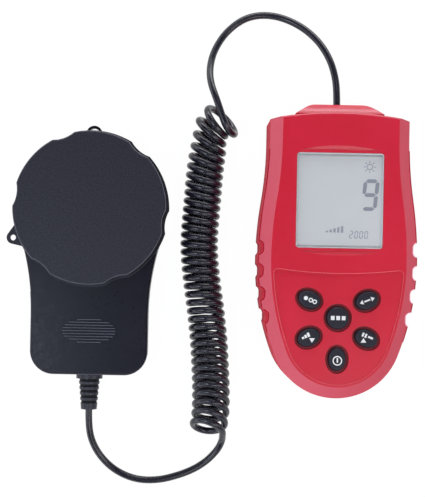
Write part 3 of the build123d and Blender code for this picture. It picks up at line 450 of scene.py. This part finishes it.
# Surroundings: colour, strength from the horizon to overhead, and its share from left to right
world_colour = (0.88, 0.92, 1)
horizon_strength, overhead_strength, world_heights = 2.6, 0.1, (0.12, 0.5)
left_share, right_share, world_sides = 1.1, 0.4, (-0.3, 0.7)
table_colour = (0.86, 0.86, 0.86)
table_roughness = 0.9
table_half = 3.0
table_drop = 0.2 * mm
glow_share, glow_strength = 0.94, 1.03  # of the white that the camera sees


def make_camera():
    """Camera over the table, shifted to the photograph's frame."""
    data = bpy.data.cameras.new("camera")
    data.sensor_width = sensor_size
    data.lens = sensor_size * camera_place[2] / table_in_view
    long_side = max(picture)
    data.shift_x = (picture[0] / 2 - foot_pixel[0]) / long_side
    data.shift_y = (foot_pixel[1] - picture[1] / 2) / long_side
    data.clip_start = nearest_seen
    camera = bpy.data.objects.new("camera", data)
    camera.location = camera_place
    camera.rotation_euler = (0, 0, math.radians(camera_roll))
    scene.collection.objects.link(camera)
    scene.camera = camera


def softbox(name, place, width, height, power, colour):
    """Large soft lamp aimed at the middle of the table."""
    data = bpy.data.lights.new(name, "AREA")
    data.shape = "RECTANGLE"
    data.size, data.size_y = width, height
    data.energy = power
    data.color = colour
    lamp = bpy.data.objects.new(name, data)
    lamp.location = place
    lamp.rotation_euler = Vector(place).to_track_quat("Z", "Y").to_euler()
    scene.collection.objects.link(lamp)


def make_world():
    """Pale surroundings, dim overhead, brighter towards the horizon and dimmer on the right."""
    world = bpy.data.worlds.new("world")
    world.use_nodes = True
    tree = world.node_tree
    place = tree.nodes.new("ShaderNodeTexCoord")
    parts = tree.nodes.new("ShaderNodeSeparateXYZ")
    tree.links.new(place.outputs["Generated"], parts.inputs[0])
    level = spread(tree, parts.outputs["Z"], horizon_strength, overhead_strength, *world_heights)
    fall = spread(tree, parts.outputs["X"], left_share, right_share, *world_sides)
    background = tree.nodes["Background"]
    tree.links.new(combine(tree, "MULTIPLY", level, fall), background.inputs["Strength"])
    background.inputs["Color"].default_value = (*world_colour, 1)
    scene.world = world


def make_table():
    """Pale table that the camera sees as white, with the object's faint shadow."""
    material, tree, shader = tree_of("table_white")
    shader.inputs["Base Color"].default_value = (*table_colour, 1)
    shader.inputs["Roughness"].default_value = table_roughness
    rays = tree.nodes.new("ShaderNodeLightPath")
    seen = rays.outputs["Is Camera Ray"]
    for name in ("Is Glossy Ray", "Is Transmission Ray"):
        seen = combine(tree, "MAXIMUM", seen, rays.outputs[name])
    glow = tree.nodes.new("ShaderNodeEmission")
    glow.inputs["Strength"].default_value = glow_strength
    mix = tree.nodes.new("ShaderNodeMixShader")
    tree.links.new(combine(tree, "MULTIPLY", seen, glow_share), mix.inputs[0])
    tree.links.new(shader.outputs[0], mix.inputs[1])
    tree.links.new(glow.outputs[0], mix.inputs[2])
    tree.links.new(mix.outputs[0], tree.nodes["Material Output"].inputs["Surface"])
    mesh = bpy.data.meshes.new("table")
    corners = [(x * table_half, y * table_half, 0) for x, y in ((-1, -1), (1, -1), (1, 1), (-1, 1))]
    mesh.from_pydata(corners, [], [(0, 1, 2, 3)])
    mesh.materials.append(material)
    table = bpy.data.objects.new("table", mesh)
    table.location.z = -table_drop
    scene.collection.objects.link(table)


# Flat marks: display segments and key signs, in millimetres

disc_steps, ring_steps = 32, 40
mark_thickness = 0.03
display_lift = 0.02  # of the display's marks over its glass


def outline(points, shift=(0, 0), turn=0):
    """Points turned and then moved in the plane."""
    angle = math.radians(turn)
    cos, sin = math.cos(angle), math.sin(angle)
    return [(x * cos - y * sin + shift[0], x * sin + y * cos + shift[1]) for x, y in points]


def bar(length, width, x=0, y=0):
    """Rectangle round a middle."""
    a, b = length / 2, width / 2
    return outline([(-a, -b), (a, -b), (a, b), (-a, b)], (x, y))


def disc(radius, x):
    """Round plate."""
    turns = [2 * math.pi * number / disc_steps for number in range(disc_steps)]
    return [(x + radius * math.cos(turn), radius * math.sin(turn)) for turn in turns]


def ring(radius, width, x=0, y=0):
    """Flat ring, as quads."""
    quads = []
    for number in range(ring_steps):
        a, b = (math.radians(360 * (number + step) / ring_steps) for step in (0, 1))
        inner, outer = radius - width / 2, radius + width / 2
        corners = [(inner, a), (outer, a), (outer, b), (inner, b)]
        quads.append([(x + reach * math.cos(angle), y + reach * math.sin(angle)) for reach, angle in corners])
    return quads


def add_piece(name, mesh, body, material):
    """A mesh as a visible piece that rides a body."""
    mesh.materials.clear()
    mesh.materials.append(material)
    piece = bpy.data.objects.new(name, mesh)
    scene.collection.objects.link(piece)
    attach(piece, body)


def box_middle(node):
    """Middle of a piece's box, in the plane."""
    low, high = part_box(node)
    return (low[0] + high[0]) / 2, (low[1] + high[1]) / 2


def marks(name, body, plates, place, turn, height, material):
    """Thin raised marks, given as flat plates in millimetres round a place."""
    shape = bmesh.new()
    for points in plates:
        flat = outline(points, turn=turn)
        shape.faces.new([shape.verts.new((x * mm, y * mm, 0)) for x, y in flat])
    bmesh.ops.remove_doubles(shape, verts=shape.verts, dist=joint_within)
    raised = bmesh.ops.extrude_face_region(shape, geom=shape.faces[:])
    tops = [item for item in raised["geom"] if isinstance(item, bmesh.types.BMVert)]
    bmesh.ops.translate(shape, verts=tops, vec=(0, 0, mark_thickness * mm))
    bmesh.ops.recalc_face_normals(shape, faces=shape.faces)
    bmesh.ops.translate(shape, verts=shape.verts, vec=(place[0], place[1], height))
    mesh = bpy.data.meshes.new(name)
    shape.to_mesh(mesh)
    shape.free()
    add_piece(name, mesh, body, material)


# A digit's lit strokes, in the order top, upper left, upper right, middle, lower left,
# lower right, bottom
lit_strokes = {0: (1, 1, 1, 0, 1, 1, 1), 2: (1, 0, 1, 1, 1, 0, 1), 9: (1, 1, 1, 1, 0, 1, 1)}
digit_slant = 0.1  # shift to the right for each unit of height
stroke_gap_share = 0.12


def digit(value, x, y, width, height, stroke):
    """Slanted seven-stroke digit round a middle."""
    half_w, half_h = (width - stroke) / 2, (height - stroke) / 2
    gap, tip = stroke * stroke_gap_share, stroke / 2

    def stroke_between(a, b):
        """Bar with pointed ends between two corners."""
        along = Vector((b[0] - a[0], b[1] - a[1])).normalized()
        side = Vector((-along.y, along.x)) * tip
        start, end = Vector(a) + along * gap, Vector(b) - along * gap
        inner, outer = start + along * tip, end - along * tip
        return [start, inner - side, outer - side, end, outer + side, inner + side]

    left, right, low, high = -half_w, half_w, -half_h, half_h
    ends = [
        ((left, high), (right, high)),
        ((left, 0), (left, high)),
        ((right, 0), (right, high)),
        ((left, 0), (right, 0)),
        ((left, low), (left, 0)),
        ((right, low), (right, 0)),
        ((left, low), (right, low)),
    ]
    plates = []
    for lit, (a, b) in zip(lit_strokes[value], ends):
        if lit:
            plates.append([(p.x + p.y * digit_slant + x, p.y + y) for p in stroke_between(a, b)])
    return plates


# Marks of the display, round the middle of its window
reading_place, reading_size, reading_stroke = (14.0, 2.85), (7.4, 14.6), 1.75
figures_place, figures_pitch = (5.6, -15.55), 2.3
figure_size, figure_stroke = (1.7, 3.6), 0.42
lamp_place, lamp_radius, lamp_stroke = (13.6, 15.8), 1.25, 0.42
ray_count, ray_length, ray_width, ray_reach = 8, 1.0, 0.4, 2.35
level_count, level_place, level_pitch = 5, (-5.6, -14.3), 1.75
level_width, level_height, level_growth = 1.1, 0.8, 0.55


def make_display():
    """Reading, range figures and two small signs on the display's glass."""
    figures = []
    for number, value in enumerate((2, 0, 0, 0)):
        x = figures_place[0] + number * figures_pitch
        figures += digit(value, x, figures_place[1], *figure_size, figure_stroke)
    lamp = ring(lamp_radius, lamp_stroke, *lamp_place)
    for number in range(ray_count):
        ray = bar(ray_length, ray_width, ray_reach)
        lamp.append(outline(ray, lamp_place, number * 360 / ray_count))
    levels = []
    for number in range(level_count):
        rise = number * level_growth
        x, y = level_place[0] + number * level_pitch, level_place[1] + rise / 2
        levels.append(bar(level_width, level_height + rise, x, y))
    signs = {
        "display_reading": (digit(9, *reading_place, *reading_size, reading_stroke), segment_grey),
        "display_range": (figures, thin_grey),
        "display_lamp_sign": (lamp, thin_grey),
        "display_level_sign": (levels, thin_grey),
    }
    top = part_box("display_glass")[1][2] + display_lift * mm
    for name, (plates, material) in signs.items():
        marks(name, root, plates, box_middle("display_window"), 0, top, material)


# Marks of the keys, round each key's middle, and how far each is turned
sign_turns = {"key_rec": -22, "key_range": 22, "key_mode": 0, "key_max": 22, "key_hold": -22, "key_power": 0}
dot_radius, dot_place = 0.95, -1.9
loop_radius, loop_stroke, loop_places = 0.8, 0.5, (0.55, 2.5)
shaft = (2.9, 0.7)
arrow_foot, arrow_tip, arrow_half = 2.0, 3.6, 1.1
square, square_pitch = (1.7, 1.9), 2.5
step_width, step_foot = 1.1, 0.3
steps_x_and_height = ((-2.6, 1.0), (-1.2, 1.5), (0.2, 2.0))
wedge_low, wedge_high, wedge_half = 0.8, 1.3, 1.3
wedge_place = (0.9, -1.5)
pause_bar, pause_places, pause_rise = (0.85, 1.9), (-2.2, -0.8), 1.1
dash_bar, dash_place = (2.4, 0.9), 1.5
power_ring, power_stroke, power_ring_drop = 1.95, 0.5, 0.6
power_bar, power_bar_drop = (0.6, 2.1), 0.4


def key_signs():
    """Plates of each key's sign."""
    record = [disc(dot_radius, dot_place)]
    for x in loop_places:
        record += ring(loop_radius, loop_stroke, x)
    right_tip = [(arrow_tip, 0), (arrow_foot, arrow_half), (arrow_foot, -arrow_half)]
    two_way = [bar(*shaft), outline(right_tip, turn=180), right_tip]
    squares = [bar(*square, x) for x in (-square_pitch, 0, square_pitch)]
    wedge = [(-wedge_half, -wedge_low), (wedge_half, -wedge_low), (0, wedge_high)]
    wedge_x, wedge_y = wedge_place
    rising = [bar(step_width, height, x, step_foot + height / 2) for x, height in steps_x_and_height]
    rising.append(outline(wedge, (wedge_x, wedge_y), 180 - sign_turns["key_max"]))
    pause = [bar(*pause_bar, x, pause_rise) for x in pause_places]
    pause.append(bar(*dash_bar, dash_place, pause_rise))
    pause.append(outline(wedge, (-wedge_x, wedge_y), -sign_turns["key_hold"]))
    power = ring(power_ring, power_stroke, 0, -power_ring_drop)
    power.append(bar(*power_bar, 0, -power_bar_drop))
    return {
        "key_rec": record,
        "key_range": two_way,
        "key_mode": squares,
        "key_max": rising,
        "key_hold": pause,
        "key_power": power,
    }


def make_key_signs():
    """White signs printed on the keys."""
    for key, plates in key_signs().items():
        name, body, turn, top = key + "_sign", key + "_body", sign_turns[key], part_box(key)[1][2]
        marks(name, body, plates, box_middle(key), turn, top, print_white)


# Fine lines and rings of painted highlights and painted shade

level_within = 0.01 * mm  # corners nearer than this to a height are level with it
# A face's tilt is how far it looks up or down: 0 for an upright side, 1 for a level face
tilt_within = 0.05
upright, bevelled = 0, math.sqrt(0.5)
round_steps = 2  # roundness of a fine line's section


def joined_shape(node):
    """Surface of a piece in place, with its doubled corners joined."""
    shape = bmesh.new()
    shape.from_mesh(nodes[node].data)
    shape.transform(nodes[node].matrix_world)
    bmesh.ops.remove_doubles(shape, verts=shape.verts, dist=joint_within)
    return shape


def rim_points(node, height, tilt, y_limit=math.inf):
    """Points round the closed edge at a height where one face has this tilt and the other hasn't.

    Edges past the limit in y are left out.
    """
    shape = joined_shape(node)
    links = {}
    for edge in shape.edges:
        first, second = edge.verts
        level = all(abs(vertex.co.z - height) < level_within for vertex in edge.verts)
        if not level or (first.co.y + second.co.y) / 2 > y_limit:
            continue
        sides = [abs(abs(face.normal.z) - tilt) < tilt_within for face in edge.link_faces]
        if any(sides) and not all(sides):
            links.setdefault(first, []).append(second)
            links.setdefault(second, []).append(first)
    start = min(links, key=lambda vertex: (vertex.co.x, vertex.co.y))
    chain, last = [start], None
    while True:
        onward = [vertex for vertex in links[chain[-1]] if vertex is not last]
        last = chain[-1]
        if not onward or onward[0] is start:
            break
        chain.append(onward[0])
    points = [vertex.co.copy() for vertex in chain]
    shape.free()
    return points


def edge_lines(node, chosen):
    """Lines of points along the edges chosen by their two ends and their faces' tilts."""
    shape = joined_shape(node)
    links = {}
    for edge in shape.edges:
        tilts = sorted(abs(face.normal.z) for face in edge.link_faces)
        if chosen(*(vertex.co for vertex in edge.verts), tilts):
            for here, there in (edge.verts, reversed(edge.verts)):
                links.setdefault(here, []).append(there)
    lines = []
    while links:
        here = min(links, key=lambda vertex: len(links[vertex]))
        line = [here.co.copy()]
        while links.get(here):
            there = links[here].pop()
            links[there].remove(here)
            line.append(there.co.copy())
            here = there
        links = {vertex: others for vertex, others in links.items() if others}
        lines.append(line)
    shape.free()
    return lines


def round_line(name, body, lines, radius, closed, material):
    """Thin round lines through points, as one piece."""
    curve = bpy.data.curves.new(name, "CURVE")
    curve.dimensions = "3D"
    curve.bevel_depth = radius
    curve.bevel_resolution = round_steps
    curve.use_fill_caps = True
    for points in lines:
        spline = curve.splines.new("POLY")
        spline.points.add(len(points) - 1)
        for point, place in zip(spline.points, points):
            point.co = (*place, 1)
        spline.use_cyclic_u = closed
    guide = bpy.data.objects.new(name + "_guide", curve)
    mesh = bpy.data.meshes.new_from_object(guide)
    bpy.data.objects.remove(guide)
    bpy.data.curves.remove(curve)
    add_piece(name, mesh, body, material)


def make_panel_line():
    """Fine raised line round the keypad panel, in a paler red as a painted highlight of the panel's edge."""
    radius = 0.2 * mm
    window_side = 0  # y between the panel and the window
    points = rim_points("front_shell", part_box("front_shell")[1][2], upright, window_side)
    round_line("panel_line", root, [points], radius, True, highlight_red)


def make_band_lines():
    """Fine lines under the sloped bands: painted highlights round the notches on the right and painted shade
    elsewhere.
    """
    radius = 0.24 * mm
    bottom_margin, top_margin = 30 * mm, 20 * mm  # of the case without lines
    slope_depth = 5 * mm  # of the bands, as in part.py
    side_tilt, slope_tilts = 0.4, (0.7, 0.8)
    low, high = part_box("front_shell")
    middle = box_middle("front_shell")[0]
    foot = high[2] - slope_depth

    def under_slope(first, second, tilts):
        """Whether an edge parts a slope from an upright side, away from both ends."""
        if not low[1] + bottom_margin < first.y < high[1] - top_margin or len(tilts) != 2:
            return False
        return tilts[0] <= side_tilt and slope_tilts[0] < tilts[1] < slope_tilts[1]

    def dark(first, second):
        """Whether an edge gets painted shade: along the foot of the slope or on the left."""
        return max(abs(first.z - foot), abs(second.z - foot)) < level_within or first.x < middle

    bands = edge_lines("front_shell", lambda a, b, tilts: under_slope(a, b, tilts) and dark(a, b))
    notches = edge_lines("front_shell", lambda a, b, tilts: under_slope(a, b, tilts) and not dark(a, b))
    round_line("band_lines", root, bands, radius, False, shade_red)
    round_line("notch_lines", root, notches, radius, False, highlight_pink)


def make_cap_line():
    """Painted highlight along the upper edge of the cap."""
    radius = 0.2 * mm
    bevel = 0.5 * mm  # of the cap, as in part.py
    points = rim_points("sensor_cap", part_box("sensor_cap")[1][2] - bevel, bevelled)
    round_line("cap_line", "sensor_cap_body", [points], radius, True, highlight_grey)


def make_head_line():
    """Painted highlight along the upper edge of the sensor head's body, below its cap."""
    radius = 0.18 * mm
    height = 15.2 * mm  # of the body's edge, as in part.py
    cap_side = -14 * mm  # y up to which the cap leaves the edge open
    side_tilt, bevel_tilts = 0.1, (0.6, 0.8)

    def on_edge(first, second, tilts):
        """Whether an edge parts the body's bevel from its side, below the cap."""
        level = max(abs(first.z - height), abs(second.z - height)) < level_within
        below = max(first.y, second.y) < cap_side
        return level and below and tilts[0] < side_tilt and bevel_tilts[0] < tilts[-1] < bevel_tilts[1]

    lines = edge_lines("sensor_front_shell", on_edge)
    round_line("head_line", root, lines, radius, False, highlight_grey)


def make_window_line():
    """Pale line along the edge of the window's opening: a painted highlight, which also covers the shade at
    the opening's edge.
    """
    radius = 0.3 * mm
    lap = 2 * mm  # of the window behind the casing
    corner = 1.2 * mm
    steps = 6  # round a corner
    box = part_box("display_window")
    inset = lap + radius + corner
    points = []
    for quarter, (x, y) in enumerate(((1, 1), (0, 1), (0, 0), (1, 0))):
        middle_x = box[x][0] + (inset if x == 0 else -inset)
        middle_y = box[y][1] + (inset if y == 0 else -inset)
        for step in range(steps + 1):
            turn = math.radians(90 * (quarter + step / steps))
            points.append((middle_x + corner * math.cos(turn), middle_y + corner * math.sin(turn), box[1][2]))
    round_line("window_line", root, [points], radius, True, highlight_pale)


def make_well_shade():
    """Painted shade round the keys: darker rings on the floor of their wells."""
    well_depth = 1.44 * mm
    oval = (5.25, 3.95)  # halves of the oval keys, in millimetres
    mode_radius = 5.1
    inner_gap, outer_gap = 0.35, 1.4  # from a key to both edges of its ring of painted shade
    turns = {**sign_turns, "key_power": 90}
    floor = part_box("front_shell")[1][2] - well_depth
    for key, turn in turns.items():
        half_x, half_y = (mode_radius, mode_radius) if key == "key_mode" else oval
        plates = []
        for quad in ring(1.0, 1.0):
            plates.append([])
            for x, y in quad:
                reach = math.hypot(x, y)
                gap = inner_gap if reach < 1 else outer_gap
                plates[-1].append((x / reach * (half_x + gap), y / reach * (half_y + gap)))
        marks(key + "_well_shade", root, plates, box_middle(key), turn, floor, well_shade_red)


# Grip patch and boot of the sensor head, with the same values as part.py, in millimetres
grip_middle = (-56.4, -35.3)
grip_half = (12.6, 6.0)
grip_top = 16.45
rib_count = 9
rib_pitch = 1.34
boot_start = -56.05  # where the boot leaves the body
boot_height = 8.0
groove_first = 2.5
groove_pitch = 2.6
groove_width = 1.25
groove_count = 5
rib_line_radius = 0.24
band_steps = 40
band_thickness = 0.08
groove_radii = (4.58, 3.66)  # of the floors of the first and the last groove


def make_rib_lines():
    """Rounded tops on the ribs of the grip patch, in a paler grey as painted highlights."""
    lines = []
    for number in range(rib_count):
        y = (number - (rib_count - 1) / 2) * rib_pitch
        half = grip_half[0] * math.sqrt(1 - (y / grip_half[1]) ** 2)
        ends = [Vector((grip_middle[0] + side * half, grip_middle[1] + y, grip_top)) * mm for side in (-1, 1)]
        lines.append(ends)
    round_line("grip_rib_lines", root, lines, rib_line_radius * mm, False, rib_highlight_grey)


def make_groove_shade():
    """Painted shade on the floors of the boot's grooves, as dark rings."""
    shape = bmesh.new()
    turns = [2 * math.pi * step / band_steps for step in range(band_steps)]
    for number in range(groove_count):
        share = number / (groove_count - 1)
        inner = groove_radii[0] + (groove_radii[1] - groove_radii[0]) * share
        outer = inner + band_thickness
        near = boot_start - groove_first - number * groove_pitch
        far = near - groove_width
        rings = []
        for y, radius in ((near, outer), (far, outer), (far, inner), (near, inner)):
            rings.append([])
            for turn in turns:
                x, z = grip_middle[0] + radius * math.cos(turn), boot_height + radius * math.sin(turn)
                rings[-1].append(shape.verts.new(Vector((x, y, z)) * mm))
        for first, second in zip(rings, rings[1:] + rings[:1]):
            for step in range(band_steps):
                after = (step + 1) % band_steps
                shape.faces.new((first[step], first[after], second[after], second[step]))
    bmesh.ops.recalc_face_normals(shape, faces=shape.faces)
    mesh = bpy.data.meshes.new("boot_groove_shade")
    shape.to_mesh(mesh)
    shape.free()
    add_piece("boot_groove_shade", mesh, root, groove_shade_black)


make_camera()
make_cord()
make_world()
for name, values in softboxes.items():
    softbox(name, *values)
make_table()
make_display()
make_key_signs()
make_panel_line()
make_band_lines()
make_cap_line()
make_head_line()
make_window_line()
make_well_shade()
make_rib_lines()
make_groove_shade()
